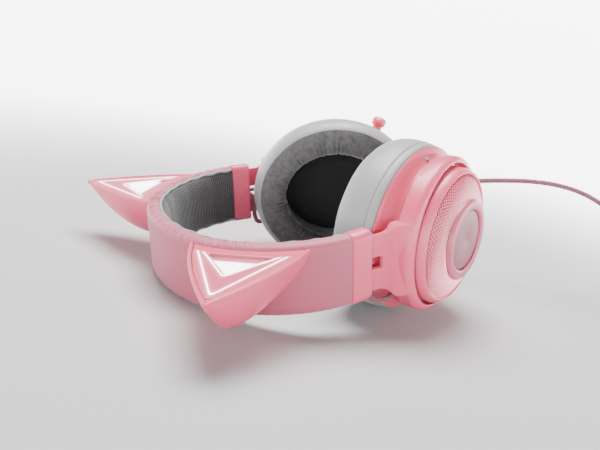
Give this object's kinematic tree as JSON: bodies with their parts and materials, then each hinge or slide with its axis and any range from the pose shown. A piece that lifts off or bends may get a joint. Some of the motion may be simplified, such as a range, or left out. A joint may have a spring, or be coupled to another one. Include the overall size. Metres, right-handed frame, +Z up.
{
  "type": "gaming headset",
  "caption": "Cat-ear gaming headset: padded headband, two slider yokes, tilting ear cups, pull-out microphone and USB cable.",
  "frame": {"origin": "middle of the base of the headset's box, without its cable; the headset lies on its back on the plane z = 0", "axes": "+X from the crown of the headband to the chin ends of the cups, +Y to the wearer's left, +Z up, towards the wearer's front"},
  "size_m": [0.3565, 0.2311, 0.0987],
  "materials": {
    "satin_pink": "satin",
    "pink_leatherette": "matte",
    "grey_cloth": "matte",
    "grey_leatherette": "matte",
    "black_cloth": "matte",
    "spring_steel": "satin",
    "board": "satin",
    "light_guide": "gloss",
    "red_light_guide": "gloss",
    "pink_braid": "matte",
    "grey_plastic": "matte",
    "black_rubber": "matte",
    "tie_black": "matte",
    "grey_plug": "matte",
    "grey_rubber": "matte",
    "tongue_white": "matte"
  },
  "bodies": {
    "headband": {"band_cover": "pink_leatherette", "band_spring": "spring_steel", "band_foam": "grey_cloth", "crown_pad": "grey_cloth", "end_cap_left": "satin_pink", "end_cap_right": "satin_pink", "ear_shell_left": "satin_pink", "ear_shell_right": "satin_pink", "ear_face_left": "satin_pink", "ear_face_right": "satin_pink", "ear_light_guide_left": "light_guide", "ear_light_guide_right": "light_guide", "ear_light_board_left": "board", "ear_light_board_right": "board", "cable_loop_left": "pink_braid", "cable_loop_right": "pink_braid"},
    "slider_left": {"yoke_left": "satin_pink", "pivot_pin_front_left": "spring_steel", "pivot_pin_rear_left": "spring_steel", "pivot_bush_front_left": "satin_pink", "pivot_bush_rear_left": "satin_pink"},
    "cup_left": {"cup_housing_left": "satin_pink", "baffle_left": "grey_plastic", "driver_left": "spring_steel", "driver_cloth_left": "black_cloth", "ear_cushion_left": "grey_leatherette", "cup_cover_left": "satin_pink", "cup_grille_left": "satin_pink", "centre_disc_left": "satin_pink", "light_board_left": "board", "screw_plug_left": "grey_plug", "mic_guide": "grey_plastic", "sound_board": "board", "strain_relief": "grey_rubber", "usb_cable": "pink_braid", "cable_coil": "pink_braid", "cable_tie": "tie_black", "plug_body": "black_rubber", "plug_shell": "spring_steel", "plug_tongue": "tongue_white"},
    "slider_right": {"yoke_right": "satin_pink", "pivot_pin_front_right": "spring_steel", "pivot_pin_rear_right": "spring_steel", "pivot_bush_front_right": "satin_pink", "pivot_bush_rear_right": "satin_pink"},
    "cup_right": {"cup_housing_right": "satin_pink", "baffle_right": "grey_plastic", "driver_right": "spring_steel", "driver_cloth_right": "black_cloth", "ear_cushion_right": "grey_leatherette", "cup_cover_right": "satin_pink", "cup_grille_right": "satin_pink", "centre_disc_right": "satin_pink", "light_board_right": "board", "screw_plug_right": "grey_plug"},
    "microphone": {"mic_boom": "black_rubber", "mic_light_ring": "red_light_guide", "mic_tip": "satin_pink"},
    "volume_wheel": {"volume_wheel": "grey_plastic"},
    "mute_button": {"mute_button": "grey_plastic"}
  },
  "joints": [
    {"name": "left_slider", "type": "slide", "parent": "headband", "child": "slider_left", "axis": [0.9744, 0, 0.2246], "range_m": [0, 0.02], "deforming": ["cable_loop_left"]},
    {"name": "right_slider", "type": "slide", "parent": "headband", "child": "slider_right", "axis": [0.9744, 0, 0.2246], "range_m": [0, 0.02], "deforming": ["cable_loop_right"]},
    {"name": "left_cup_tilt", "type": "hinge", "parent": "slider_left", "child": "cup_left", "pos_m": [0.05179, 0.05423, 0.04897], "axis": [-0.2107, 0.028, 0.9771], "range_deg": [-1, 2.4]},
    {"name": "right_cup_tilt", "type": "hinge", "parent": "slider_right", "child": "cup_right", "pos_m": [0.05179, -0.05423, 0.04897], "axis": [0.2107, 0.028, -0.9771], "range_deg": [-2, 3]},
    {"name": "microphone_slide", "type": "slide", "parent": "cup_left", "child": "microphone", "axis": [0.0981, -0.1305, 0.9866], "range_m": [0, 0.05]},
    {"name": "volume_turn", "type": "hinge", "parent": "cup_left", "child": "volume_wheel", "pos_m": [0.06849, 0.03901, 0.0233], "axis": [0.4538, 0.8882, 0.0724], "continuous": true},
    {"name": "mute_press", "type": "slide", "parent": "cup_left", "child": "mute_button", "axis": [-0.8381, 0.3978, 0.3732], "range_m": [0, 0.0008], "stiffness_N_per_m": 800, "springref_m": -0.0009}
  ]
}
